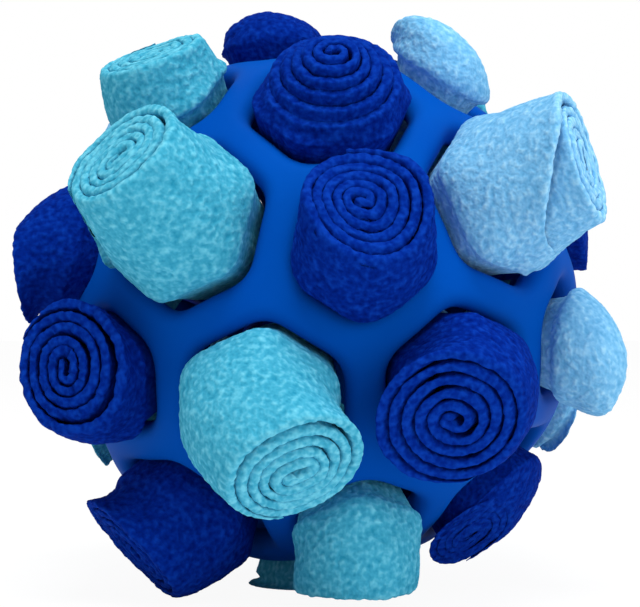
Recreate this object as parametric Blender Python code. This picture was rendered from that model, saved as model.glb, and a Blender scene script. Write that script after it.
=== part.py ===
# Snuffle ball: an openwork rubber ball in whose 32 holes strips of fleece are wound up as rolls.
# Treats are hidden in the hollow core and in the turns of the rolls. Metres, +Z up.
# The origin is on the floor under the ball's centre, and the front of the ball faces -Y.

import math

import bmesh
import bpy
from mathutils import Matrix, Vector

# Rubber ball: sizes over its outer surface
BALL_RADIUS = 0.060
WALL = 0.0055
STRUT_WIDTH = 0.0092
STRUT_ROUNDING = 0.0015
HOLE_CORNER_SHARE = 0.07
FOOT_HEIGHT = 0.004

# Fleece strips and their rolls
FLEECE_THICKNESS = 0.0024
TURN_GAP = 0.0006
GROOVE_DEPTH = 0.0030
ROLL_CLEARANCE = 0.0005
ROLL_INSIDE = 0.022
ROLL_OUT = 0.012
END_RADIUS = 0.013
SWELL = 0.0006
PENTAGON_SWELL = 0.0022
LOOSENESS_SHARE = 0.45
GROOVE_TURNS = 2.75
POINTS_PER_CORNER = 2

# Cuts the rolls that stand on the floor flat
CUTTER_SIZE = 0.200

# How the ball stands: the pentagon that faces the front, and its turn about its own axis
FRONT_TURN = math.radians(8.2)
FRONT_RAISE = math.radians(11.1)
FRONT_SPIN = math.radians(-5.5)

ROYAL, TURQUOISE, LIGHT = "royal", "turquoise", "light"
FLEECE_COLOURS = {
    ROYAL: (0.004, 0.026, 0.280, 1.0),
    TURQUOISE: (0.085, 0.500, 0.680, 1.0),
    LIGHT: (0.260, 0.580, 0.880, 1.0),
}
RUBBER_COLOUR = (0.002, 0.080, 0.450, 1.0)

# Each roll: name, colour, its hole's bearing (degrees round from the front to the right, degrees up),
# how far its end stands out and where it is pushed to (X, Y, Z), all as shares of ROLL_OUT,
# the way its end faces (None: straight out), its end's radius as a share of END_RADIUS,
# how far its core stands proud of its rim, as a share of ROLL_OUT, what share of its hole's
# width it fills, and how far aside it sits there (X, Y, Z), as shares of ROLL_OUT.
ROLL_SHARES = [
    ("front_middle", ROYAL, (8, 11), 1.35, (-0.1, 0.1, 0.65),
     (0.06, -0.75, 0.66), 1.0, -0.2, 1.0, (0.0, 0.0, 0.0)),
    ("front_top", ROYAL, (4, 48), 0.36, (0.02, -0.1, -0.05),
     (0.0, -0.76, 0.65), 1.17, 0.85, 0.97, (0.0, -0.03, -0.02)),
    ("front_left", TURQUOISE, (-30, 17), 1.8, (-0.1, 0.25, 0.55),
     (-0.54, -0.56, 0.62), 1.02, 0.0, 1.0, (0.0, 0.0, 0.0)),
    ("front_low", TURQUOISE, (-12, -21), 1.35, (0.85, 0.0, -0.45),
     (0.33, -0.74, -0.58), 1.02, 0.08, 1.0, (0.0, 0.0, 0.0)),
    ("front_low_right", ROYAL, (33, -18), 1.0, (-0.75, -0.45, -0.15),
     (0.12, -0.91, -0.4), 1.15, 0.12, 1.0, (0.0, 0.0, 0.0)),
    ("front_right", LIGHT, (46, 22), 2.0, (-0.05, -0.1, -0.1),
     (0.9, -0.34, 0.28), 1.08, 0.0, 1.0, (0.0, 0.0, 0.0)),
    ("top_left", TURQUOISE, (-54, 49), 0.95, (0.2, -0.15, 0.05),
     (-0.33, -0.25, 0.91), 0.92, 0.0, 1.0, (0.0, 0.0, 0.0)),
    ("top_right", LIGHT, (66, 56), 0.95, (-0.31, 0.06, -0.02),
     (0.37, 0.09, 0.93), 0.84, 0.15, 0.86, (-0.13, 0.0, 0.0)),
    ("top", ROYAL, (-85, 86), 0.2, (-0.27, 0.09, -0.03),
     (-0.22, 0.2, 0.95), 0.74, 0.1, 0.8, (-0.27, 0.0, 0.0)),
    ("left", ROYAL, (-73, 15), 0.9, (0.04, -0.26, -0.6),
     (-1.0, -0.03, -0.01), 0.98, 0.0, 0.78, (0.0, 0.0, -0.33)),
    ("left_low", ROYAL, (-50, -14), 1.15, (0.25, -0.5, 0.4),
     (-0.55, -0.83, -0.02), 0.98, 0.1, 1.0, (0.0, 0.0, 0.0)),
    ("right", LIGHT, (69, -7), 1.2, (-0.1, 0.1, -0.5),
     (0.88, 0.44, -0.17), 0.92, 0.15, 0.8, (0.0, 0.0, -0.17)),
    ("right_high", ROYAL, (91, 24), 0.25, (0.0, 0.0, 0.0),
     (0.92, 0.02, 0.4), 0.85, 0.0, 1.0, (0.0, 0.0, 0.0)),
    ("right_back_low", LIGHT, (107, -15), 0.35, (-0.11, -0.19, -0.26),
     None, 1.1, 0.0, 1.0, (0.0, 0.0, 0.0)),
    ("bottom_right", ROYAL, (71, -44), 0.42, (-0.38, -0.28, -0.14),
     (0.62, -0.35, -0.7), 0.96, 0.0, 0.88, (-0.17, 0.0, -0.08)),
    ("bottom_front", TURQUOISE, (14, -52), 1.1, (-0.33, 0.1, -0.55),
     (0.0, 0.0, -1.0), 1.12, 0.0, 1.0, (0.0, 0.0, 0.0)),
    ("bottom_left", ROYAL, (-48, -52), 1.22, (-0.48, -0.2, 0.42),
     (-0.73, -0.16, -0.66), 1.2, 0.0, 1.0, (0.0, 0.0, 0.0)),
    ("bottom", TURQUOISE, (95, -86), 0.39, (-0.36, -0.12, 0.0),
     (0.03, 0.0, -1.0), 1.12, 0.0, 1.0, (0.0, 0.0, 0.0)),
    ("left_under", TURQUOISE, (-89, -24), 0.15, (0.05, 0.08, 0.11),
     None, 0.86, 0.0, 0.92, (0.0, 0.08, 0.05)),
    ("top_back_left", LIGHT, (-109, 44), 0.45, (0.0, 0.0, 0.0),
     None, 0.88, 0.0, 1.0, (0.0, 0.0, 0.0)),
    ("top_back", LIGHT, (-166, 52), 1.0, (0.1, 0.0, 0.0),
     None, 0.95, 0.08, 1.0, (0.0, 0.0, 0.0)),
    ("top_back_right", TURQUOISE, (132, 52), 0.6, (0.0, -0.1, 0.1),
     None, 0.98, 0.0, 1.0, (0.0, 0.0, 0.0)),
    ("left_back", TURQUOISE, (-111, 7), 0.9, (0.0, 0.3, 0.3),
     None, 0.92, 0.0, 1.0, (0.0, 0.0, 0.0)),
    ("right_back", TURQUOISE, (130, 14), 1.05, (0.0, 0.0, 0.0),
     None, 0.95, 0.1, 1.0, (0.0, 0.0, 0.0)),
    ("back_left_high", ROYAL, (-147, 18), 1.5, (0.1, 0.1, 0.2),
     None, 1.08, 0.1, 1.0, (0.0, 0.0, 0.0)),
    ("back_high", TURQUOISE, (168, 21), 1.8, (0.15, 0.0, -0.2),
     None, 1.08, 0.0, 1.0, (0.0, 0.0, 0.0)),
    ("back", ROYAL, (-172, -11), 1.75, (0.05, 0.0, 0.15),
     None, 0.98, -0.08, 1.0, (0.0, 0.0, 0.0)),
    ("back_left_low", LIGHT, (-134, -22), 1.15, (0.0, 0.0, 0.0),
     None, 1.08, 0.0, 1.0, (0.0, 0.0, 0.0)),
    ("back_right_low", LIGHT, (150, -17), 1.6, (-0.2, 0.0, 0.15),
     None, 1.1, 0.08, 1.0, (0.0, 0.0, 0.0)),
    ("bottom_back_left", ROYAL, (-114, -56), 0.9, (0.34, 0.0, 0.0),
     None, 0.82, 0.0, 1.0, (0.0, 0.0, 0.0)),
    ("bottom_back_right", ROYAL, (126, -49), 0.45, (-0.1, 0.1, 0.0),
     None, 0.88, 0.0, 1.0, (0.0, 0.0, 0.0)),
    ("bottom_back", TURQUOISE, (-176, -48), 1.22, (0.0, 0.0, 0.0),
     None, 1.0, 0.0, 1.0, (0.0, 0.0, 0.0)),
]


# Small helpers
def clear_scene():
    for obj in list(bpy.data.objects):
        bpy.data.objects.remove(obj, do_unlink=True)


def principled(name, colour, roughness):
    material = bpy.data.materials.new(name)
    material.use_nodes = True
    shader = material.node_tree.nodes["Principled BSDF"]
    shader.inputs["Base Color"].default_value = colour
    shader.inputs["Roughness"].default_value = roughness
    shader.inputs["Metallic"].default_value = 0.0
    return material


def object_from(bm, name, material):
    mesh = bpy.data.meshes.new(name)
    bmesh.ops.recalc_face_normals(bm, faces=bm.faces[:])
    if bm.calc_volume(signed=True) < 0:
        bmesh.ops.reverse_faces(bm, faces=bm.faces[:])
    bm.to_mesh(mesh)
    bm.free()
    obj = bpy.data.objects.new(name, mesh)
    bpy.context.scene.collection.objects.link(obj)
    obj.data.materials.append(material)
    return obj


def ball_centre():
    return Vector((0.0, 0.0, BALL_RADIUS + FOOT_HEIGHT))


def bearing(turn, raise_angle):
    """The direction at an angle round from the front to the right, and an angle up."""
    level = math.cos(raise_angle)
    return Vector((math.sin(turn) * level, -math.cos(turn) * level, math.sin(raise_angle)))


# The ball's pattern: a football's 12 pentagons and 20 hexagons
def football(radius):
    """A truncated icosahedron with a pentagon's centre on +Z, turned as the ball stands."""
    bm = bmesh.new()
    bmesh.ops.create_icosphere(bm, subdivisions=1, radius=radius)
    third = next(iter(bm.edges)).calc_length() / 3
    bmesh.ops.bevel(
        bm, geom=bm.verts[:], offset=third, offset_type="OFFSET", segments=1, affect="VERTICES"
    )
    bmesh.ops.remove_doubles(bm, verts=bm.verts[:], dist=third / 100)
    bmesh.ops.rotate(bm, verts=bm.verts[:], matrix=stance())
    return bm


def stance():
    """The turn from the pattern's own axes to the way the ball stands."""
    front = bearing(FRONT_TURN, FRONT_RAISE)
    swing = Vector((0.0, 0.0, 1.0)).rotation_difference(front).to_matrix()
    return Matrix.Rotation(FRONT_SPIN, 3, front) @ swing


def hole_at(faces, turn, raise_angle):
    """The hole nearest to a bearing: its axis, and its corners' directions in order."""
    wanted = bearing(math.radians(turn), math.radians(raise_angle))
    return max(faces, key=lambda hole: hole[0].dot(wanted))


def pattern_holes():
    bm = football(1.0)
    holes = []
    for face in bm.faces:
        axis = face.calc_center_median().normalized()
        holes.append((axis, [vert.co.normalized() for vert in face.verts]))
    bm.free()
    return holes


def side_angle(hole):
    """The angle at the ball's centre between a hole's axis and the middle of its side."""
    axis, corners = hole
    return axis.angle(corners[0] + corners[1])


def clear_angle(hole):
    """The angle at the ball's centre between a hole's axis and the side of its strut."""
    return side_angle(hole) - STRUT_WIDTH / 2 / BALL_RADIUS


def corner_angle(hole):
    """The same angle to the hole's filled-out corner."""
    full = math.sin(clear_angle(hole)) / math.cos(math.pi / len(hole[1]))
    return math.asin(full * (1 - HOLE_CORNER_SHARE))


# Rubber ball
def make_ball(material):
    bm = football(BALL_RADIUS)
    bmesh.ops.subdivide_edges(bm, edges=bm.edges[:], cuts=1)
    corners = {vert for vert in bm.verts if len(vert.link_edges) == 3}
    panels = [(face, face.calc_center_median(), len(face.verts)) for face in bm.faces]
    for vert in bm.verts:
        vert.co = vert.co.normalized() * BALL_RADIUS
    for face, centre, count in panels:
        cut_hole(bm, face, centre.normalized(), corners)
    for vert in bm.verts:
        vert.co = vert.co.normalized() * BALL_RADIUS
    ball = object_from(bm, "rubber_ball", material)
    ball.location = ball_centre()
    shell = ball.modifiers.new("wall", "SOLIDIFY")
    shell.thickness = WALL
    shell.offset = -1.0
    rounding = ball.modifiers.new("rounded_edges", "BEVEL")
    rounding.width = STRUT_ROUNDING
    rounding.segments = 1
    rounding.limit_method = "ANGLE"
    rounding.angle_limit = math.radians(76)
    return ball


def cut_hole(bm, face, axis, corners):
    """Insets a panel by half a strut, fills its corners out a little and opens it."""
    loop = list(face.verts)
    hole = (axis, [vert.co.normalized() for vert in loop if vert in corners])
    side = BALL_RADIUS * math.sin(clear_angle(hole))
    corner = BALL_RADIUS * math.sin(corner_angle(hole))
    bmesh.ops.inset_individual(bm, faces=[face], thickness=STRUT_WIDTH / 2)
    for old, new in zip(loop, nearest_order(loop, list(face.verts))):
        out = old.co - axis * old.co.dot(axis)
        reach = corner if old in corners else side
        rise = math.sqrt(BALL_RADIUS**2 - reach**2)
        new.co = axis * rise + out.normalized() * reach
    bmesh.ops.delete(bm, geom=[face], context="FACES")


def nearest_order(loop, others):
    return [min(others, key=lambda other: (other.co - vert.co).length) for vert in loop]


# Fleece rolls
def roll_frame(axis, corner, way):
    """Two directions square to a way, carried over from the hole's axis without a twist."""
    first = (corner - axis * corner.dot(axis)).normalized()
    first = axis.rotation_difference(way) @ first
    return first, way.cross(first)


def roll_path(start, start_way, end, end_way):
    """The roll's bent centre line, as a function of how far along it is."""
    span = (end - start).length
    bend = start + start_way * span * LOOSENESS_SHARE

    def at(share):
        place = start.lerp(bend, share).lerp(bend.lerp(end, share), share)
        return place, start_way.slerp(end_way, share)

    return at


def ring_points(centre, frame, radii, step):
    """Points round a centre, the angle falling from one to the next, with the given radii."""
    first, second = frame
    points = []
    for index, radius in enumerate(radii):
        angle = -index * step
        points.append(centre + (first * math.cos(angle) + second * math.sin(angle)) * radius)
    return points


def skin(bm, upper, lower):
    """Faces between two rings of points, which may share their first and last point."""
    for index in range(len(upper) - 1):
        corners = [upper[index], upper[index + 1], lower[index + 1], lower[index]]
        bm.faces.new(list(dict.fromkeys(corners)))


def spiral_radius(rim, share_of_turns):
    """The radius of the strip's outer face, this many turns in from its outer end."""
    return rim + (FLEECE_THICKNESS + TURN_GAP) * (1 - share_of_turns)


def wound_end(bm, outline, centre, frame, rim, rise, count):
    """The strip's turns on a roll's end: lands between the walls of one spiral groove."""
    first, second = frame
    way = first.cross(second)
    last = round(GROOVE_TURNS * count)

    def point(index, radius, sunk):
        angle = -index * 2 * math.pi / count
        proud = rise * (1 - radius / rim) - sunk
        flat = first * math.cos(angle) + second * math.sin(angle)
        return centre + flat * radius + way * proud

    outer, floor, inner = [], [], []
    for index in range(last):
        face = spiral_radius(rim, index / count)
        near, far = face - FLEECE_THICKNESS, face - FLEECE_THICKNESS - TURN_GAP
        outer.append(bm.verts.new(point(index, near, 0.0)))
        floor.append(bm.verts.new(point(index, (near + far) / 2, GROOVE_DEPTH)))
        inner.append(bm.verts.new(point(index, far, 0.0)) if index else outline[-1])
    gaps = [(a.co - b.co).length for a, b in zip(outer, inner)]
    face = spiral_radius(rim, last / count)
    tip = bm.verts.new(point(last, face - FLEECE_THICKNESS - TURN_GAP / 2, 0.0))
    for chain in (outer, floor, inner):
        chain.append(tip)
    for index in range(last):
        skin(bm, outer[index : index + 2], floor[index : index + 2])
        skin(bm, floor[index : index + 2], inner[index : index + 2])
    skin(bm, outline, outer[: count + 1])
    skin(bm, inner[: last - count + 1], outer[count:])
    bm.faces.new(inner[last - count :])
    return outer[0], floor[0], min(gaps)


def make_roll(name, hole, out, push, facing, end_share, rise, fill_share, aside, material):
    axis, corners = hole
    count = POINTS_PER_CORNER * len(corners)
    step = 2 * math.pi / count
    facing = Vector(facing).normalized() if facing else axis
    aside = aside - axis * aside.dot(axis)
    neck = axis * BALL_RADIUS + aside
    end = axis * (BALL_RADIUS + out) + push
    path = roll_path(neck, axis, end, facing)
    pitch = FLEECE_THICKNESS + TURN_GAP
    end_radius = END_RADIUS * end_share
    rim = end_radius - pitch / 2

    def held_radii(height):
        side = height * math.tan(clear_angle(hole)) * fill_share - ROLL_CLEARANCE
        corner = height * math.tan(corner_angle(hole)) * fill_share - ROLL_CLEARANCE
        return [side if index % 2 else corner for index in range(count)]

    def wound_radii(mean, lead):
        return [mean + lead * (0.5 - index / count) for index in range(count + 1)]

    bm = bmesh.new()
    rings = []
    for height in (BALL_RADIUS - ROLL_INSIDE, BALL_RADIUS - STRUT_ROUNDING):
        radii = held_radii(height)
        centre = axis * height + aside
        points = ring_points(centre, roll_frame(axis, corners[0], axis), radii, step)
        ring = [bm.verts.new(point) for point in points]
        rings.append(ring + ring[:1])
    middle, middle_way = path(0.5)
    held = BALL_RADIUS * math.tan(clear_angle(hole)) * fill_share
    swollen = (held + end_radius) / 2 + (PENTAGON_SWELL if len(corners) == 5 else SWELL)
    for place, way, radius, lead in (
        (middle, middle_way, swollen, pitch / 2),
        (end, facing, end_radius, pitch),
    ):
        points = ring_points(place, roll_frame(axis, corners[0], way), wound_radii(radius, lead), step)
        rings.append([bm.verts.new(point) for point in points])
    for lower, upper in zip(rings, rings[1:]):
        skin(bm, upper, lower)
    bm.faces.new(rings[0][:-1])
    seam_outer, seam_floor, gap = wound_end(
        bm, rings[3], end, roll_frame(axis, corners[0], facing), rim, rise, count
    )
    bm.faces.new([rings[3][0], seam_outer, seam_floor, rings[3][-1], rings[2][-1], rings[2][0]])
    bm.faces.new([rings[2][0], rings[2][-1], rings[1][0]])
    roll = object_from(bm, "fleece_roll_" + name, material)
    roll.location = ball_centre()
    roll.data.shade_smooth()
    roll.data.set_sharp_from_angle(angle=math.radians(40))
    return roll, gap


# The floor under the rolls that the ball stands on
def make_floor_cutter():
    bm = bmesh.new()
    bmesh.ops.create_cube(bm, size=CUTTER_SIZE)
    mesh = bpy.data.meshes.new("floor_cutter")
    bm.to_mesh(mesh)
    bm.free()
    cutter = bpy.data.objects.new("floor_cutter", mesh)
    cutter.location.z = -CUTTER_SIZE / 2
    cutter.hide_render = True
    cutter.display_type = "WIRE"
    bpy.context.scene.collection.objects.link(cutter)
    return cutter


def stand_on_floor(roll, cutter):
    """Cuts a roll flat where it reaches the floor."""
    lowest = min((roll.matrix_world @ vert.co).z for vert in roll.data.vertices)
    if lowest < 0:
        cut = roll.modifiers.new("flat_foot", "BOOLEAN")
        cut.operation = "DIFFERENCE"
        cut.object = cutter
        cut.solver = "EXACT"
    return lowest


def main():
    clear_scene()
    rubber = principled("rubber", RUBBER_COLOUR, 0.45)
    make_ball(rubber)
    cutter = make_floor_cutter()
    holes = pattern_holes()
    gaps = []
    for name, colour, place, out, push, facing, end_share, rise, fill_share, aside in ROLL_SHARES:
        hole = hole_at(holes, *place)
        holes.remove(hole)
        fleece = principled("fleece_" + name, FLEECE_COLOURS[colour], 0.95)
        roll, gap = make_roll(
            name,
            hole,
            out * ROLL_OUT,
            Vector(push) * ROLL_OUT,
            facing,
            end_share,
            rise * ROLL_OUT,
            fill_share,
            Vector(aside) * ROLL_OUT,
            fleece,
        )
        bpy.context.view_layer.update()
        lowest = stand_on_floor(roll, cutter)
        gaps.append(gap)
        x, y, z = hole[0]
        print(f"{roll.name}: axis {x:.4f} {y:.4f} {z:.4f}, low {lowest * 1000:.2f} mm")
    print(f"least gap between a strip's turns: {min(gaps) * 1000:.2f} mm")


main()
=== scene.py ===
# %% [markdown]
# # A snuffle ball of rubber and rolled fleece
# The toy is a hollow rubber ball with a football's pattern of holes. A strip of fleece is wound
# up and pushed into every hole, so that a pet has to nose the rolls apart to find its treats.
# This lesson dresses the plain CAD model: it moulds a smooth openwork ball, winds every strip
# turn by turn, and gives both a material that is worked out by nodes alone.

# %% Load the fixed frame
import math

import bmesh
import bpy
from mathutils import Matrix, Vector, noise


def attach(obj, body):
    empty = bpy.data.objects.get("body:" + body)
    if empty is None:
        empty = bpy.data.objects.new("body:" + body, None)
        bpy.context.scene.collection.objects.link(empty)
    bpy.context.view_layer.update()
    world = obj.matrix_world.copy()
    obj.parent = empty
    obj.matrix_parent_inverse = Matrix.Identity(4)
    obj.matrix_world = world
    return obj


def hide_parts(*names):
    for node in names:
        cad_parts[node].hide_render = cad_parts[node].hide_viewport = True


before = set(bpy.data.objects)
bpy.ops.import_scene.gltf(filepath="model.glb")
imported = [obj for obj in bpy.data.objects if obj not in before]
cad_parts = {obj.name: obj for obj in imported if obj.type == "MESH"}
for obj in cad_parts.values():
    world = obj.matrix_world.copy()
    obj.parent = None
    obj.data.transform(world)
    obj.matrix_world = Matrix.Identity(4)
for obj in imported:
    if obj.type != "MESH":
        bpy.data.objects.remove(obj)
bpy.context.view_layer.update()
MM = 0.001

# %% [markdown]
# ## The camera
# The photograph was taken from straight in front and level with the ball, from close enough that
# the nearest rolls look larger than those at the rim. The place and the lens were fitted to the
# crossings of the rubber struts, so a long lens at less than half a metre is right here.

# %% Set up the camera
BALL_CENTRE = Vector((0.0, 0.0, 64 * MM))
camera = bpy.data.objects.new("camera", bpy.data.cameras.new("camera"))
bpy.context.scene.collection.objects.link(camera)
camera.location = (0.456 * MM, -465.2 * MM, 64.82 * MM)
camera.rotation_euler = (math.radians(90), 0, 0)
camera.data.sensor_width = 36
camera.data.lens = 112.13
bpy.context.scene.camera = camera
print("camera stands", round(-camera.location.y / MM), "mm in front of the ball's centre")

# %% [markdown]
# ## The pattern of holes
# A football has 12 pentagons and 20 hexagons. Blender's icosphere has the 12 corners: cutting each
# one off at a third of its edges leaves exactly that pattern. The ball stands slightly turned, so
# the whole pattern is turned by the same three angles as in the CAD model.

# %% Make the pattern
BALL_RADIUS = 60 * MM
STRUT_WIDTH = 9.2 * MM
FRONT_TURN, FRONT_RAISE, FRONT_SPIN = (math.radians(a) for a in (8.2, 11.1, -5.5))


def bearing(turn, raise_angle):
    level = math.cos(raise_angle)
    return Vector((math.sin(turn) * level, -math.cos(turn) * level, math.sin(raise_angle)))


def football(radius):
    bm = bmesh.new()
    bmesh.ops.create_icosphere(bm, subdivisions=1, radius=radius)
    third = next(iter(bm.edges)).calc_length() / 3
    bmesh.ops.bevel(bm, geom=bm.verts[:], offset=third, offset_type="OFFSET", segments=1,
                    profile=0.5, affect="VERTICES", material=-1)
    bmesh.ops.remove_doubles(bm, verts=bm.verts[:], dist=third / 100)
    front = bearing(FRONT_TURN, FRONT_RAISE)
    swing = Vector((0, 0, 1)).rotation_difference(front).to_matrix()
    turn = Matrix.Rotation(FRONT_SPIN, 3, front) @ swing
    bmesh.ops.rotate(bm, verts=bm.verts[:], matrix=turn)
    return bm


pattern = football(1.0)
holes = []
for face in pattern.faces:
    corners = [vert.co.normalized() for vert in face.verts]
    holes.append((face.calc_center_median().normalized(), corners))
pattern.free()
print("holes:", len(holes), "of which pentagons:", sum(len(c) == 5 for _, c in holes))

# %% [markdown]
# ## How wide a hole is
# A moulded hole is a polygon with rounded corners. Seen along its axis, its edge is the strut's
# straight side near the middle of a side, and an arc near a corner. One function gives the
# distance from the axis to that edge for any angle, and both the ball and the rolls use it.

# %% Measure a rounded hole
CORNER_ROUNDING = 7.5 * MM


def side_angle(hole):
    axis, corners = hole
    return axis.angle(corners[0] + corners[1]) - STRUT_WIDTH / 2 / BALL_RADIUS


def hole_edge(hole, angle, rounding=CORNER_ROUNDING):
    """Distance from a hole's axis to its edge at the ball's surface; angle 0 is at a corner."""
    count = len(hole[1])
    side = BALL_RADIUS * math.sin(side_angle(hole))
    step = 2 * math.pi / count
    off = abs((angle + step / 2) % step - step / 2)
    from_side = step / 2 - off
    straight = side / math.cos(from_side)
    middle = (side - rounding) / math.cos(step / 2)
    arc = middle * math.cos(off) + math.sqrt(max(rounding**2 - (middle * math.sin(off))**2, 0))
    tangent_angle = math.atan2((side - rounding) * math.tan(step / 2), side)
    return straight if from_side <= tangent_angle else arc


for wanted in (5, 6):
    hole = next(h for h in holes if len(h[1]) == wanted)
    print(f"{wanted} sides: {hole_edge(hole, math.pi / wanted) / MM:.1f} mm to a side,",
          f"{hole_edge(hole, 0) / MM:.1f} mm to a corner")

# %% [markdown]
# ## Small helpers
# A finished piece keeps its object at the origin and its shape in its mesh. The helper below makes
# an object of a bmesh, checks that the faces look outwards, tells the frame which CAD body the piece
# moves with, and hides the CAD solid it stands for.

# %% Turn a bmesh into a piece


def piece_from(bm, name, material, body, node):
    bmesh.ops.recalc_face_normals(bm, faces=bm.faces[:])
    if bm.calc_volume(signed=True) < 0:
        bmesh.ops.reverse_faces(bm, faces=bm.faces[:])
    mesh = bpy.data.meshes.new(name)
    bm.to_mesh(mesh)
    bm.free()
    mesh.shade_smooth()
    obj = bpy.data.objects.new(name, mesh)
    bpy.context.scene.collection.objects.link(obj)
    obj.data.materials.append(material)
    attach(obj, body)
    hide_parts(node)
    return obj


def add_node(tree, kind, links=(), **values):
    """Adds a shader node, sets its values and joins its inputs to other nodes' outputs."""
    node = tree.nodes.new(kind)
    for name, value in values.items():
        if hasattr(node, name):
            setattr(node, name, value)
        else:
            node.inputs[name.replace("_", " ")].default_value = value
    for socket, source in links:
        tree.links.new(source, node.inputs[socket])
    return node


# %% [markdown]
# ## The rubber
# Moulded rubber is a deep, even blue with a satin skin: broad soft highlights, and a faint
# unevenness where the mould was blasted. A fine noise in the bump breaks the highlights, and a
# slower one shifts the roughness, so that the struts don't look like polished plastic.

# %% Mix the rubber


def rubber_material():
    material = bpy.data.materials.new("satin_rubber")
    material.use_nodes = True
    tree = material.node_tree
    shader = tree.nodes["Principled BSDF"]
    place = add_node(tree, "ShaderNodeTexCoord").outputs["Object"]
    cloudy = add_node(tree, "ShaderNodeTexNoise", [("Vector", place)], Scale=45.0, Detail=3.0)
    tint = add_node(tree, "ShaderNodeMix", [("Factor", cloudy.outputs["Fac"])],
                    data_type="RGBA")
    tint.inputs[6].default_value = (0.0003, 0.066, 0.400, 1.0)
    tint.inputs[7].default_value = (0.0006, 0.088, 0.480, 1.0)
    tree.links.new(tint.outputs[2], shader.inputs["Base Color"])
    rough = add_node(tree, "ShaderNodeMapRange", [("Value", cloudy.outputs["Fac"])],
                     To_Min=0.40, To_Max=0.56)
    tree.links.new(rough.outputs["Result"], shader.inputs["Roughness"])
    blasted = add_node(tree, "ShaderNodeTexNoise", [("Vector", place)], Scale=1800.0, Detail=2.0)
    bump = add_node(tree, "ShaderNodeBump", [("Height", blasted.outputs["Fac"])],
                    Strength=0.18, Distance=0.1 * MM)
    tree.links.new(bump.outputs["Normal"], shader.inputs["Normal"])
    shader.inputs["Specular IOR Level"].default_value = 0.02
    shader.inputs["Specular Tint"].default_value = (0.02, 0.30, 1.0, 1.0)
    return material


rubber = rubber_material()
print("made", rubber.name)

# %% [markdown]
# ## The openwork ball
# The struts are what is left when every panel of the football gets a hole. A panel is inset ring
# by ring: the first rings go over the strut's rounded outer edge, the next down the wall of the
# hole, and the last round the inner edge and back under the strut, where they meet the rings of
# the neighbouring panels. One level of subdivision melts the facets together.

# %% Mould the openwork ball
WALL = 7 * MM
EDGE_ROUNDING = 3.1 * MM
EDGE_CUTS = 6


def strut_rings():
    """Each ring's offset from the hole's edge and its depth below the ball's surface."""
    quarter = [math.radians(a) for a in (0, 22.5, 45, 67.5, 90)]
    outer = [(EDGE_ROUNDING * (1 - math.sin(a)), EDGE_ROUNDING * (1 - math.cos(a))) for a in quarter]
    return outer + [(offset, WALL - depth) for offset, depth in reversed(outer)]


def make_ball(material):
    bm = football(BALL_RADIUS)
    bmesh.ops.subdivide_edges(bm, edges=bm.edges[:], cuts=EDGE_CUTS)
    for vert in bm.verts:
        vert.co = vert.co.normalized() * BALL_RADIUS
    for face in bm.faces[:]:
        open_panel(bm, face)
    bmesh.ops.remove_doubles(bm, verts=bm.verts[:], dist=0.01 * MM)
    bmesh.ops.translate(bm, verts=bm.verts[:], vec=BALL_CENTRE)
    print("open edges on the ball:", sum(edge.is_boundary for edge in bm.edges))
    ball = piece_from(bm, "openwork_ball", material, "ball", "rubber_ball")
    melt = ball.modifiers.new("melt", "SUBSURF")
    melt.levels = melt.render_levels = 1
    return ball


def open_panel(bm, face):
    """Insets a panel once for each ring, moves the new points there and takes the middle out."""
    loop = [vert.co.copy() for vert in face.verts]
    hole = min(holes, key=lambda h: (h[0] * BALL_RADIUS - face.calc_center_median()).length)
    axis, corners = hole
    first = (corners[0] - axis * corners[0].dot(axis)).normalized()
    second = axis.cross(first)
    bmesh.ops.inset_individual(bm, faces=[face], thickness=STRUT_WIDTH / 4)
    starts = [min(loop, key=lambda co: (co - vert.co).length) for vert in face.verts]
    for offset, depth in strut_rings():
        for vert, start in zip(face.verts, starts):
            angle = math.atan2(start.dot(second), start.dot(first))
            reach = hole_edge(hole, angle) + offset
            out = first * math.cos(angle) + second * math.sin(angle)
            on_ball = axis * math.sqrt(BALL_RADIUS**2 - reach**2) + out * reach
            vert.co = on_ball * (1 - depth / BALL_RADIUS)
        bmesh.ops.inset_individual(bm, faces=[face], thickness=STRUT_WIDTH / 50)
    for vert, start in zip(face.verts, starts):
        vert.co = start * (1 - WALL / BALL_RADIUS)
    bmesh.ops.delete(bm, geom=[face], context="FACES")


ball = make_ball(rubber)
print("ball faces before its modifier:", len(ball.data.polygons))

# %% [markdown]
# ## The fleece
# Double-sided fleece is knitted and brushed, so its pile clumps into small pills about a
# millimetre wide. Their tops catch the light and the pits between them stay dark. The winding
# step below pushes the mesh out by such pills and stores how far in an attribute, together with a
# lighter strip along each cut edge. From that attribute the material paints the pits darker and
# the pill tops and cut edges lighter, as painted shade and painted highlight. It adds finer fibres
# as colour and bump, and a sheen for the fuzzy outline.

# %% Mix the fleece


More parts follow.
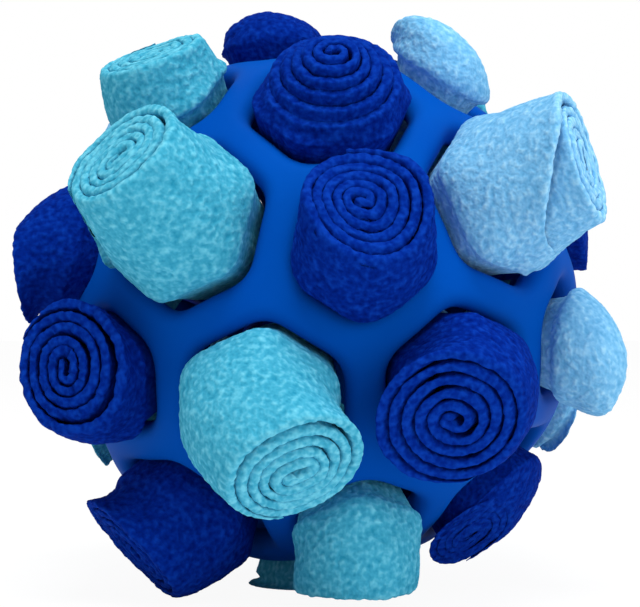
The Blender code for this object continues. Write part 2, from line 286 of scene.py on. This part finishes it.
def fleece_material(name, pit_shade, mid, tip_highlight):
    material = bpy.data.materials.new(name)
    material.use_nodes = True
    tree = material.node_tree
    shader = tree.nodes["Principled BSDF"]
    place = add_node(tree, "ShaderNodeTexCoord").outputs["Object"]
    # the pile's height and the cut edge's strip drive painted shade in the pits and painted highlight
    # on the tops
    pile_shade_and_highlight = add_node(tree, "ShaderNodeAttribute", attribute_name="pile_shade_and_highlight")
    fibres = add_node(tree, "ShaderNodeTexNoise", [("Vector", place)],
                      Scale=900.0, Detail=1.2, Roughness=0.4)
    fibres_and_pile_shade = add_node(tree, "ShaderNodeMath",
                       [(0, fibres.outputs["Fac"]), (2, pile_shade_and_highlight.outputs["Fac"])],
                       operation="MULTIPLY_ADD")
    fibres_and_pile_shade.inputs[1].default_value = 1.45
    level = add_node(tree, "ShaderNodeMapRange", [("Value", fibres_and_pile_shade.outputs["Value"])],
                     From_Min=0.68, From_Max=1.78)
    ramp = add_node(tree, "ShaderNodeValToRGB", [("Fac", level.outputs["Result"])])
    # the ramp runs from painted shade in the pits through the fleece's own colour to painted highlight
    # on the tips
    ramp.color_ramp.elements[0].color = pit_shade
    ramp.color_ramp.elements[1].color = tip_highlight
    ramp.color_ramp.elements.new(0.5).color = mid
    tree.links.new(ramp.outputs["Color"], shader.inputs["Base Color"])
    bump = add_node(tree, "ShaderNodeBump", [("Height", fibres.outputs["Fac"])],
                    Strength=0.8, Distance=0.5 * MM)
    tree.links.new(bump.outputs["Normal"], shader.inputs["Normal"])
    shader.inputs["Roughness"].default_value = 0.95
    shader.inputs["Specular IOR Level"].default_value = 0.04
    shader.inputs["Specular Tint"].default_value = tip_highlight
    shader.inputs["Sheen Weight"].default_value = 0.15
    shader.inputs["Sheen Roughness"].default_value = 0.45
    shader.inputs["Sheen Tint"].default_value = tip_highlight
    return material


# each fleece: its painted pit shade, its own colour, and its painted tip highlight
FLEECE = {
    "royal": fleece_material("royal_fleece", (0.0004, 0.009, 0.150, 1), (0.0010, 0.020, 0.245, 1),
                             (0.0030, 0.042, 0.370, 1)),
    "turquoise": fleece_material("turquoise_fleece", (0.020, 0.280, 0.440, 1),
                                 (0.058, 0.400, 0.580, 1), (0.160, 0.600, 0.770, 1)),
    "light": fleece_material("light_blue_fleece", (0.110, 0.390, 0.690, 1),
                             (0.190, 0.510, 0.820, 1), (0.360, 0.700, 0.950, 1)),
}
print("fleece colours:", ", ".join(FLEECE))

# %% [markdown]
# ## The list of rolls
# No two rolls are alike: each was wound and pushed in by hand. The table has one line for each,
# with its hole's bearing, where its outer end stands and faces, how wide that end is, and how it
# is wound: the number of turns, how far its core stands out, how oval it is and which way, where
# the strip's free edge lies, and the sense of the winding. The ends began as the CAD model's. Many
# were then moved a few millimetres and bent further, because soft cloth gives where a solid can't.

# %% List the rolls
ROLL_OUT = 12 * MM
END_RADIUS = 13 * MM
# name, colour, bearing, out, push, facing, end radius, rise, turns, oval mm, long way, seam way, sense
ROLLS = [
    ("front_middle", "royal", (8, 11), 1.35, (-0.10, 0.10, 0.70), (0.06, -0.75, 0.66), 1.05, -0.20,
     5.7, 0.8, (1, 0, -0.2), (-0.3, 1, 0.4), -1),
    ("front_top", "royal", (4, 48), 0.36, (0.02, -0.10, -0.05), (0.0, -0.76, 0.65), 1.17, 0.85,
     6.2, 0.5, (1, 0, 0), (-1, 0.8, 0), 1),
    ("front_left", "turquoise", (-30, 17), 1.80, (-0.10, 0.25, 0.55), (-0.54, -0.56, 0.62), 1.02,
     0.0, 5.2, 1.8, (1, 0, 1.1), (-1, 0.3, -0.6), -1),
    ("front_low", "turquoise", (-12, -21), 1.35, (0.90, 0.0, -0.42), (0.33, -0.74, -0.58), 1.09,
     0.08, 5.4, 1.8, (1, 0, 0.45), (-0.3, 1, -1), -1),
    ("front_low_right", "royal", (33, -18), 1.00, (-0.80, -0.50, -0.06), (0.12, -0.91, -0.40),
     1.26, 0.12, 5.6, 0.8, (1, 0, -0.5), (0.2, 1, -1), -1),
    ("front_right", "light", (46, 22), 2.00, (-0.05, -0.10, -0.10), (0.90, -0.34, 0.28), 1.08,
     0.0, 5.0, 2.0, (0, 0, 1), (-0.3, -0.1, -1), -1),
    ("top_left", "turquoise", (-54, 49), 0.95, (0.13, -0.15, 0.15), (-0.33, -0.32, 0.89), 0.92,
     0.0, 4.6, 1.2, (1, 0, 0), (0, 1, 0.3), 1),
    ("top_right", "light", (66, 56), 0.95, (-0.99, 0.10, 0.13), (0.22, 0.34, 0.90), 0.84, 0.15,
     4.8, 1.5, (0, 1, 0), (0, 1, 0), 1),
    ("top", "royal", (-85, 86), 0.24, (-0.90, 0.20, 0.11), (-0.35, 0.35, 0.87), 0.74, 0.10,
     4.0, 3.0, (0, 1, 0), (0, 1, 0), 1),
    ("left", "royal", (-73, 15), 0.90, (0.05, -0.40, -0.92), (-0.99, 0.05, -0.10), 0.94, 0.0,
     5.0, 2.0, (0, 1, 0), (0, 1, 0), 1),
    ("left_low", "royal", (-50, -14), 1.15, (0.30, -0.50, 0.47), (-0.40, -0.91, -0.02), 1.10,
     0.10, 5.2, 1.0, (0, 0, 1), (-0.2, 1, 0.3), -1),
    ("right", "light", (69, -7), 0.90, (-0.18, 0.05, -0.63), (0.93, 0.24, -0.26), 0.93, 0.12,
     5.0, 2.4, (0, 1, 0), (0, 1, 0.2), 1),
    ("right_high", "royal", (91, 24), 0.35, (-0.10, 0.05, 0.20), (0.88, 0.05, 0.47), 0.95, 0.0,
     4.6, 0.6, (0, 0, 1), (0, 1, 0), 1),
    ("right_back_low", "light", (107, -15), 0.66, (-0.41, -0.40, -0.42), None, 1.04, 0.0,
     5.2, 0.5, (0, 1, 1), (0, 0, 1), -1),
    ("bottom_right", "royal", (71, -44), 0.42, (-0.86, -0.50, -0.44), (0.42, -0.64, -0.64), 0.82,
     0.0, 5.0, 1.4, (1, 0, 0.8), (-0.5, 1, 0.6), 1),
    ("bottom_front", "turquoise", (14, -52), 1.00, (-0.30, 0.42, -0.30), (0.0, 0.04, -1.0), 1.06,
     0.0, 5.4, 0.6, (1, 0, 0), (0, 1, 0), 1),
    ("bottom_left", "royal", (-48, -52), 1.22, (-0.46, -0.20, 0.46), (-0.70, -0.29, -0.65), 1.14,
     0.0, 5.4, 1.0, (1, 0, -1), (0, 1, 0), -1),
    ("bottom", "turquoise", (95, -86), 0.34, (-0.66, -0.20, 0.0), (0.0, 0.0, -1.0), 1.10, 0.0,
     5.6, 0.4, (1, 0, 0), (1, 0.2, 0), 1),
    ("left_under", "turquoise", (-89, -24), 0.02, (0.14, 0.36, 0.24), None, 0.60, 0.0,
     4.6, 0.6, (0, 1, 0), (0, 1, 0), 1),
    ("top_back_left", "light", (-109, 44), 0.45, (0.0, 0.0, 0.0), None, 0.88, 0.0,
     4.6, 0.5, (0, 1, 0), (0, 0, 1), -1),
    ("top_back", "light", (-166, 52), 1.00, (0.10, 0.0, 0.0), None, 0.95, 0.08,
     5.0, 0.5, (1, 0, 0), (1, 0, 1), 1),
    ("top_back_right", "turquoise", (132, 52), 0.60, (0.0, -0.10, 0.10), None, 0.98, 0.0,
     5.2, 1.0, (1, 1, 0), (0, 0, 1), -1),
    ("left_back", "turquoise", (-111, 7), 0.90, (0.0, 0.30, 0.30), None, 0.92, 0.0,
     5.0, 1.2, (0, 0.4, 1), (0, 0, -1), 1),
    ("right_back", "turquoise", (130, 14), 1.05, (-0.10, 0.15, 0.10), None, 0.95, 0.10,
     5.0, 0.6, (0, 0, 1), (0, 0, -1), -1),
    ("back_left_high", "royal", (-147, 18), 1.50, (0.10, 0.10, 0.20), None, 1.08, 0.10,
     5.4, 1.4, (1, 0, 0.6), (1, 0, 0), 1),
    ("back_high", "turquoise", (168, 21), 1.80, (0.15, 0.0, -0.20), None, 1.08, 0.0,
     5.4, 1.8, (1, 0, 0), (0, 0, -1), -1),
    ("back", "royal", (-172, -11), 1.75, (0.05, 0.0, 0.15), None, 0.98, -0.08,
     5.2, 0.6, (1, 0, 1), (1, 0, 0), 1),
    ("back_left_low", "light", (-134, -22), 1.15, (0.0, 0.15, -0.10), None, 1.08, 0.0,
     5.4, 0.8, (1, 0, -1), (0, 0, 1), -1),
    ("back_right_low", "light", (150, -17), 1.60, (-0.20, 0.0, 0.15), None, 1.10, 0.08,
     5.6, 1.2, (0.3, 0, 1), (-1, 0, 0), 1),
    ("bottom_back_left", "royal", (-114, -56), 0.90, (0.40, 0.0, 0.0), None, 0.82, 0.0,
     4.4, 0.5, (0, 1, 0), (1, 0, 0), 1),
    ("bottom_back_right", "royal", (126, -49), 0.45, (-0.10, 0.10, 0.0), None, 0.88, 0.0,
     4.6, 0.6, (1, 0, 0), (0, 1, 0), -1),
    ("bottom_back", "turquoise", (-176, -48), 1.22, (0.0, 0.0, 0.0), None, 1.00, 0.0,
     5.2, 0.8, (1, 0, 0), (0, 1, 0), 1),
]
print("rolls in the table:", len(ROLLS))

# %% [markdown]
# ## The line that a roll follows
# A roll is held straight by its hole, then leans and bends to where its end was pushed. Its centre
# line is straight inside the ball and a smooth curve outside. At each distance along that line a
# ring of turns stands square to it, so the line also carries two directions with it, turned along
# without any twist.

# %% Follow a roll's centre line
ROLL_INSIDE = 22 * MM
LOOSENESS = 0.45


class Line:
    """A roll's centre line, by distance from its inner end."""

    def __init__(self, hole, end, facing, aside):
        self.axis, corners = hole
        self.facing = facing
        self.aside = aside - self.axis * aside.dot(self.axis)
        self.neck = self.axis * BALL_RADIUS + self.aside
        self.end = end
        self.span = (end - self.neck).length
        self.bend = self.neck + self.axis * self.span * LOOSENESS
        self.length = ROLL_INSIDE + self.span
        self.first = (corners[0] - self.axis * corners[0].dot(self.axis)).normalized()

    def frame_at(self, distance):
        share = (distance - ROLL_INSIDE) / self.span
        if share <= 0:
            way = self.axis
            centre = self.axis * (BALL_RADIUS - ROLL_INSIDE + distance) + self.aside
        else:
            way = self.axis.slerp(self.facing, min(share, 1.0))
            low, high = self.neck.lerp(self.bend, share), self.bend.lerp(self.end, share)
            centre = low.lerp(high, share)
        first = self.axis.rotation_difference(way) @ self.first
        return centre, first, way.cross(first), way, share

    def angle_of(self, hint):
        """The angle round the roll's end at which a direction of the world lies."""
        _, first, second, _, _ = self.frame_at(self.length)
        hint = Vector(hint)
        return math.atan2(hint.dot(second), hint.dot(first))


# %% [markdown]
# ## Winding one strip
# The strip is a grid: its columns run round the roll from the free edge in to the core, and its
# rows go up the outer face, over the rounded cut edge and down the inner face. Each grid point is
# moved to its place in the winding. The outer turn gets small steps, because all of it shows, and
# the turns inside get longer ones. Where the strip leaves the hole it keeps the hole's shape, and
# further out it swells and closes in to an oval end. The free edge is pressed down on the turn
# below it, so that it tapers out instead of standing up as a step.
#
# A roll can depart from the usual shape. `fill` is how much of its hole it takes up, and `swell`
# and `dome` make it bulge past the rubber and round its shoulder. `skew` draws the free corner
# back over the first `skew_turns`, as on a roll that was wound askew. `groove` opens a gap between
# the outer turns and the inner ones on the side `apart`, `core` shifts the inner turns, and
# `terrace` sets the outer turns back in steps on the side `down`. `slack` and `ragged` are how
# loosely it is wound and how unevenly it was cut.

# %% Wind a strip
FLEECE_THICKNESS = 2.15 * MM
HOLE_CLEARANCE = 0.05 * MM
NECK_FLARE = 0.9 * MM
CORE_RADIUS = 1.25 * MM
# how much lighter the top of the rounded cut edge is painted: a painted highlight
EDGE_HIGHLIGHT = 0.22
EDGE_TAPER_TURNS = 0.2
EDGE_TAPER_LEFT = 0.15
OUTER_TURNS = 1.15
LEAST_STEP_RADIUS = 2.2 * MM
# the rounded cut edge: offset across the strip and height, both as shares of half its thickness
CUT_EDGE = ((1, 0), (0.93, 0.55), (0.72, 0.88), (0.38, 1), (0, 1))
INNER_FACE_DROPS = (0.8, 1.8, 3.2, 5.5, 10.0)
SHAPE = dict(fill=1, swell=1, skew=0, skew_turns=0.6, groove=0, apart=(0, 0, 1), core=(0, 0, 0),
             terrace=0, down=(0, 0, 1), dome=0, slack=0.25, ragged=0.22)


def smooth(share):
    share = min(max(share, 0.0), 1.0)
    return share * share * (3 - 2 * share)


def column_turns(turns, radius, fine, coarse):
    """How many turns in from the free edge each column of the grid lies."""
    steps = [0.0, 0.3 * MM / (2 * math.pi * radius), 0.8 * MM / (2 * math.pi * radius)]
    while steps[-1] < turns:
        here = radius * (1 - 0.85 * steps[-1] / turns)
        step = fine if steps[-1] < OUTER_TURNS else coarse
        steps.append(steps[-1] + step / (2 * math.pi * max(here, LEAST_STEP_RADIUS)))
    steps[-1] = turns
    return steps


def row_profile(length, fine):
    """Each row's distance along the roll and its offset across the strip, as a share of half."""
    top = length - 0.5 * FLEECE_THICKNESS
    rows = [(0.0, 0.0), (0.0, 1.0)]
    place = 6 * MM
    while place < top:
        rows.append((place, 1.0))
        place += fine if place > ROLL_INSIDE - 3 * MM else 5 * MM
    for side, height in CUT_EDGE:
        rows.append((top + height * FLEECE_THICKNESS / 2, side))
    for side, height in reversed(CUT_EDGE[:-1]):
        rows.append((top + height * FLEECE_THICKNESS / 2, -side))
    for drop in INNER_FACE_DROPS:
        rows.append((top - drop * MM, -1.0))
    rows += [(0.0, -1.0), (0.0, 0.0)]
    return rows


class Winding:
    """Where the points of one wound strip lie."""

    def __init__(self, hole, line, end_radius, swell, turns, oval, long_way, seam_way, sense, rise,
                 seed, shape):
        self.hole, self.line = hole, line
        self.end_radius, self.swell, self.turns = end_radius, swell, turns
        self.oval, self.rise, self.sense, self.seed = oval, rise, sense, seed
        self.long_angle = line.angle_of(long_way)
        self.seam_angle = line.angle_of(seam_way)
        self.shape = {**SHAPE, **shape}
        self.tight = math.tan(side_angle(hole)) * self.shape["fill"]

    def mean_radius(self, distance, share):
        flare = NECK_FLARE * self.shape["swell"] * smooth((distance - ROLL_INSIDE) / (2 * MM) + 1)
        if share <= 0:
            return (BALL_RADIUS - ROLL_INSIDE + distance) * self.tight - HOLE_CLEARANCE + flare
        neck = BALL_RADIUS * self.tight - HOLE_CLEARANCE
        bulge = self.shape["swell"] * self.swell * math.sin(math.pi * min(share, 1.0) ** 0.5)
        bulge += flare * (1 - smooth(share * 2))
        shoulder = self.shape["dome"] * MM * max(share - 0.5, 0) ** 2 * 4
        return neck + (self.end_radius - neck) * smooth(share) + bulge - shoulder

    def point(self, turn, distance, across):
        drop = self.shape["skew"] * MM * (1 - smooth(turn / self.shape["skew_turns"]))
        distance -= drop * max(distance - ROLL_INSIDE, 0) / self.line.span
        centre, first, second, way, share = self.line.frame_at(distance)
        angle = self.seam_angle + self.sense * 2 * math.pi * turn
        mean = self.mean_radius(distance, share)
        held = (1 - smooth(share / 0.42)) * max(self.shape["fill"] * 5 - 4, 0)
        round_share = 1 - self.shape["fill"] ** 6 * (1 - smooth(share * 1.2))
        neck = BALL_RADIUS * math.sin(side_angle(self.hole))
        polygon = 1 + held * (hole_edge(self.hole, angle) / neck - 1)
        groove = self.shape["groove"] / 2 * MM * smooth(share * 1.5)
        pitch = (mean - CORE_RADIUS - groove) / self.turns
        slack = noise.noise(Vector((turn * 2.3, self.seed, distance / (14 * MM))))
        depth = pitch * turn + FLEECE_THICKNESS / 2 * (1 - across)
        depth += groove * smooth(turn * 1.6 - 0.8)
        depth += self.shape["slack"] * MM * slack * min(turn, 1.0)
        radius = max(mean - depth, 0.1 * MM) * polygon
        lean = math.cos(angle - self.long_angle)
        stretch = self.oval * round_share * lean / math.sqrt(lean * lean + 0.12)
        along = first * math.cos(self.long_angle) + second * math.sin(self.long_angle)
        out = first * math.cos(angle) + second * math.sin(angle)
        inward = min(turn / self.turns, 1.0)
        shift = Vector(self.shape["apart"]).normalized() * -groove * smooth(turn * 1.6 - 0.8)
        shift += Vector(self.shape["core"]) * MM * inward * round_share
        shift -= way * shift.dot(way)
        lift = self.rise * math.sin(math.pi / 2 * inward) * smooth(share)
        step_side = max(out.dot(Vector(self.shape["down"]).normalized()), 0)
        lift -= self.shape["terrace"] * MM * (1 - inward) * step_side * smooth(share)
        ragged = noise.noise(Vector((turn * 37.0, 4.0, self.seed)))
        lift += self.shape["ragged"] * MM * ragged * smooth(share * 4 - 3)
        lift += 0.45 * MM * smooth(share) * noise.noise(Vector((turn * 1.7, 9.0, self.seed)))
        return BALL_CENTRE + centre + out * radius + along * stretch + shift + way * lift


def wind_strip(winding, fine, coarse):
    """A grid moved onto the winding, with its long sides welded and its two ends closed."""
    columns = column_turns(winding.turns, winding.end_radius, fine, coarse)
    rows = row_profile(winding.line.length, fine)
    bm = bmesh.new()
    pile_shade_and_highlight = bm.verts.layers.float.new("pile_shade_and_highlight")
    bmesh.ops.create_grid(bm, x_segments=len(columns) - 1, y_segments=len(rows) - 1, size=1.0)
    for vert in bm.verts:
        column = round((vert.co.x + 1) / 2 * (len(columns) - 1))
        distance, across = rows[round((vert.co.y + 1) / 2 * (len(rows) - 1))]
        # painted highlight: the top of the rounded cut edge is made lighter in colour
        if distance > ROLL_INSIDE:
            vert[pile_shade_and_highlight] = EDGE_HIGHLIGHT * math.sqrt(max(1 - across * across, 0))
        across *= {0: 0.35, 1: 0.8}.get(min(column, len(columns) - 1 - column), 1.0)
        taper = smooth(columns[column] / EDGE_TAPER_TURNS)
        across = (across + 1) * (EDGE_TAPER_LEFT + (1 - EDGE_TAPER_LEFT) * taper) - 1
        vert.co = winding.point(columns[column], distance, across)
    bmesh.ops.remove_doubles(bm, verts=bm.verts[:], dist=0.001 * MM)
    rims = [edge for edge in bm.edges if edge.is_boundary]
    bmesh.ops.holes_fill(bm, edges=rims, sides=0)
    return bm


# %% [markdown]
# ## Brushing up the pile
# The wound strip is still as smooth as paper. Every point is pushed along its normal by a noise
# about one pill wide, and by a slower one that makes the soft lumps of hand-wound cloth. How far
# the pill noise pushed it is kept in an attribute, and from it the material paints the pits darker
# and the pill tops lighter: painted shade and painted highlight on top of the real bumps. A roll
# that the toy stands on is pressed flat just above the floor, so that the two don't fight for the
# same pixels.

# %% Brush up the pile
PILL = 1.15 * MM
PILL_HEIGHT = 0.24 * MM
LUMP = 6 * MM
LUMP_HEIGHT = 0.30 * MM
FLOOR_GAP = 0.05 * MM


def brush_up(obj, seed):
    mesh = obj.data
    pile_shade_and_highlight = mesh.attributes["pile_shade_and_highlight"]
    shift = Vector((seed * 3.1, seed * 1.7, 0))
    normals = [vert.normal.copy() for vert in mesh.vertices]
    values = []
    for vert, normal, edge_highlight in zip(mesh.vertices, normals, pile_shade_and_highlight.data):
        pill = noise.noise(vert.co / PILL + shift)
        lump = noise.noise(vert.co / LUMP + shift)
        vert.co += normal * (PILL_HEIGHT * pill + LUMP_HEIGHT * lump)
        vert.co.z = max(vert.co.z, FLOOR_GAP)
        # the colour level follows the pill's height: painted shade in the pits, painted highlight on
        # the tops, plus the cut edge's painted highlight
        values.append(0.5 + 0.5 * pill + edge_highlight.value)
    pile_shade_and_highlight.data.foreach_set("value", values)
    mesh.update()


# %% [markdown]
# ## Rolling all the strips
# Each line of the table becomes one roll, and a second table holds the ways in which single rolls
# depart from the usual shape. There `aside` is the shift, in millimetres, of a roll that doesn't
# fill its hole. The rolls in view get finer steps than those behind.

# %% Roll all the strips
SWELL = {5: 2.2 * MM, 6: 0.8 * MM}
IN_VIEW_STEPS = (0.5 * MM, 0.8 * MM)
BEHIND_STEPS = (0.95 * MM, 1.5 * MM)
BEHIND_FROM = 0.25
SHAPES = {
    "front_top": dict(fill=0.97, aside=(0, -0.4, -0.3), swell=0, slack=0.4, core=(0, -0.3, -1.2)),
    "front_middle": dict(groove=0.3, apart=(-0.6, 0, 1), core=(-0.8, 0, 1.5), terrace=8, slack=0.1,
                         down=(0.4, -0.3, -0.9)),
    "front_left": dict(groove=1.3, apart=(1, 0, -0.7)),
    "front_low": dict(aside=(0.5, 0, 0.3), swell=0.3, groove=0.8, apart=(0.2, 0, 1),
                      core=(0.2, 0, -1.2), slack=0.3),
    "front_low_right": dict(fill=0.98, aside=(-0.7, 0, 0.8), swell=0.2, core=(-0.6, 0, 0.2),
                            slack=0.35),
    "front_right": dict(skew=13, skew_turns=0.32, groove=1.2, apart=(0, -1, 0.2)),
    "left_low": dict(groove=1.2, apart=(1, 0, -0.5), slack=0.5, ragged=0.9),
    "top": dict(fill=0.7, aside=(-5, 0, 0), dome=3),
    "top_right": dict(fill=0.84, aside=(-3.6, 0, 0), dome=2.5),
    "left": dict(fill=0.88, aside=(0, -1.8, -2.8)),
    "right": dict(fill=0.86, aside=(-0.8, -2.2, -1.6), dome=3),
    "bottom_right": dict(fill=0.84, aside=(-3, 0, -1.5), swell=0.4),
    "left_under": dict(fill=0.84, aside=(0, 2.8, 1)),
    "bottom": dict(fill=0.95, aside=(-1.8, 0, 0), swell=0.5, ragged=0),
    "bottom_front": dict(aside=(-1.8, 0, 0), swell=0.6),
    "bottom_left": dict(fill=0.94, aside=(-0.8, 0, 0.8), swell=0.2),
}
free_holes = list(holes)
rolls = []
total = 0
for number, row in enumerate(ROLLS):
    name, colour, place, out, push, facing, end_share, rise, turns, oval, long_way, seam, sense = row
    towards = bearing(*(math.radians(a) for a in place))
    hole = max(free_holes, key=lambda h: h[0].dot(towards))
    free_holes.remove(hole)
    axis = hole[0]
    end = axis * (BALL_RADIUS + out * ROLL_OUT) + Vector(push) * ROLL_OUT
    facing = Vector(facing).normalized() if facing else axis
    shape = SHAPES.get(name, {})
    line = Line(hole, end, facing, Vector(shape.get("aside", (0, 0, 0))) * MM)
    winding = Winding(hole, line, end_share * END_RADIUS, SWELL[len(hole[1])], turns, oval * MM,
                      long_way, seam, sense, rise * ROLL_OUT, number * 7.3, shape)
    fine, coarse = IN_VIEW_STEPS if axis.y < BEHIND_FROM else BEHIND_STEPS
    bm = wind_strip(winding, fine, coarse)
    roll = piece_from(bm, "wound_strip_" + name, FLEECE[colour], "roll_" + name,
                      "fleece_roll_" + name)
    brush_up(roll, number)
    rolls.append(roll)
    total += sum(len(face.vertices) - 2 for face in roll.data.polygons)
print("rolls:", len(rolls), "triangles:", total)

# %% [markdown]
# ## The floor and the light
# The photograph is a cut-out on white. A white floor and a white world give that, and the floor
# keeps a faint shadow. A large soft lamp hangs high above and a little in front, and a weaker one
# on the right opens up the shade.

# %% Lay the floor and set the light


def make_floor():
    bm = bmesh.new()
    bmesh.ops.create_grid(bm, x_segments=1, y_segments=1, size=3.0)
    mesh = bpy.data.meshes.new("floor")
    bm.to_mesh(mesh)
    bm.free()
    floor = bpy.data.objects.new("floor", mesh)
    bpy.context.scene.collection.objects.link(floor)
    material = bpy.data.materials.new("white_floor")
    material.use_nodes = True
    tree = material.node_tree
    shader = tree.nodes["Principled BSDF"]
    shader.inputs["Base Color"].default_value = (0.95, 0.95, 0.95, 1)
    shader.inputs["Roughness"].default_value = 0.9
    shader.inputs["Specular IOR Level"].default_value = 0.1
    path = add_node(tree, "ShaderNodeLightPath")
    white = add_node(tree, "ShaderNodeEmission", Strength=1.04)
    share = add_node(tree, "ShaderNodeMath", [(0, path.outputs["Is Camera Ray"])],
                     operation="MULTIPLY")
    share.inputs[1].default_value = 0.9
    mix = add_node(tree, "ShaderNodeMixShader",
                   [("Fac", share.outputs["Value"]), (1, shader.outputs["BSDF"]),
                    (2, white.outputs["Emission"])])
    tree.links.new(mix.outputs["Shader"], tree.nodes["Material Output"].inputs["Surface"])
    floor.data.materials.append(material)


def white_world(strength):
    world = bpy.data.worlds.new("white_studio")
    bpy.context.scene.world = world
    world.use_nodes = True
    tree = world.node_tree
    background = tree.nodes["Background"]
    background.inputs["Color"].default_value = (1, 1, 1, 1)
    background.inputs["Strength"].default_value = strength
    seen = add_node(tree, "ShaderNodeBackground", Color=(1, 1, 1, 1), Strength=1.0)
    path = add_node(tree, "ShaderNodeLightPath")
    mix = add_node(tree, "ShaderNodeMixShader",
                   [("Fac", path.outputs["Is Camera Ray"]), (1, background.outputs["Background"]),
                    (2, seen.outputs["Background"])])
    tree.links.new(mix.outputs["Shader"], tree.nodes["World Output"].inputs["Surface"])


def soft_lamp(name, place, size, power):
    lamp = bpy.data.lights.new(name, "AREA")
    lamp.size = size
    lamp.energy = power
    obj = bpy.data.objects.new(name, lamp)
    obj.location = place
    obj.rotation_euler = (BALL_CENTRE - Vector(place)).to_track_quat("-Z", "Y").to_euler()
    bpy.context.scene.collection.objects.link(obj)


make_floor()
white_world(0.45)
soft_lamp("key", (0.02, -0.36, 0.96), 0.5, 7.4)
soft_lamp("fill", (0.75, -0.60, 0.30), 0.6, 2.6)
bpy.context.scene.view_settings.view_transform = "Standard"
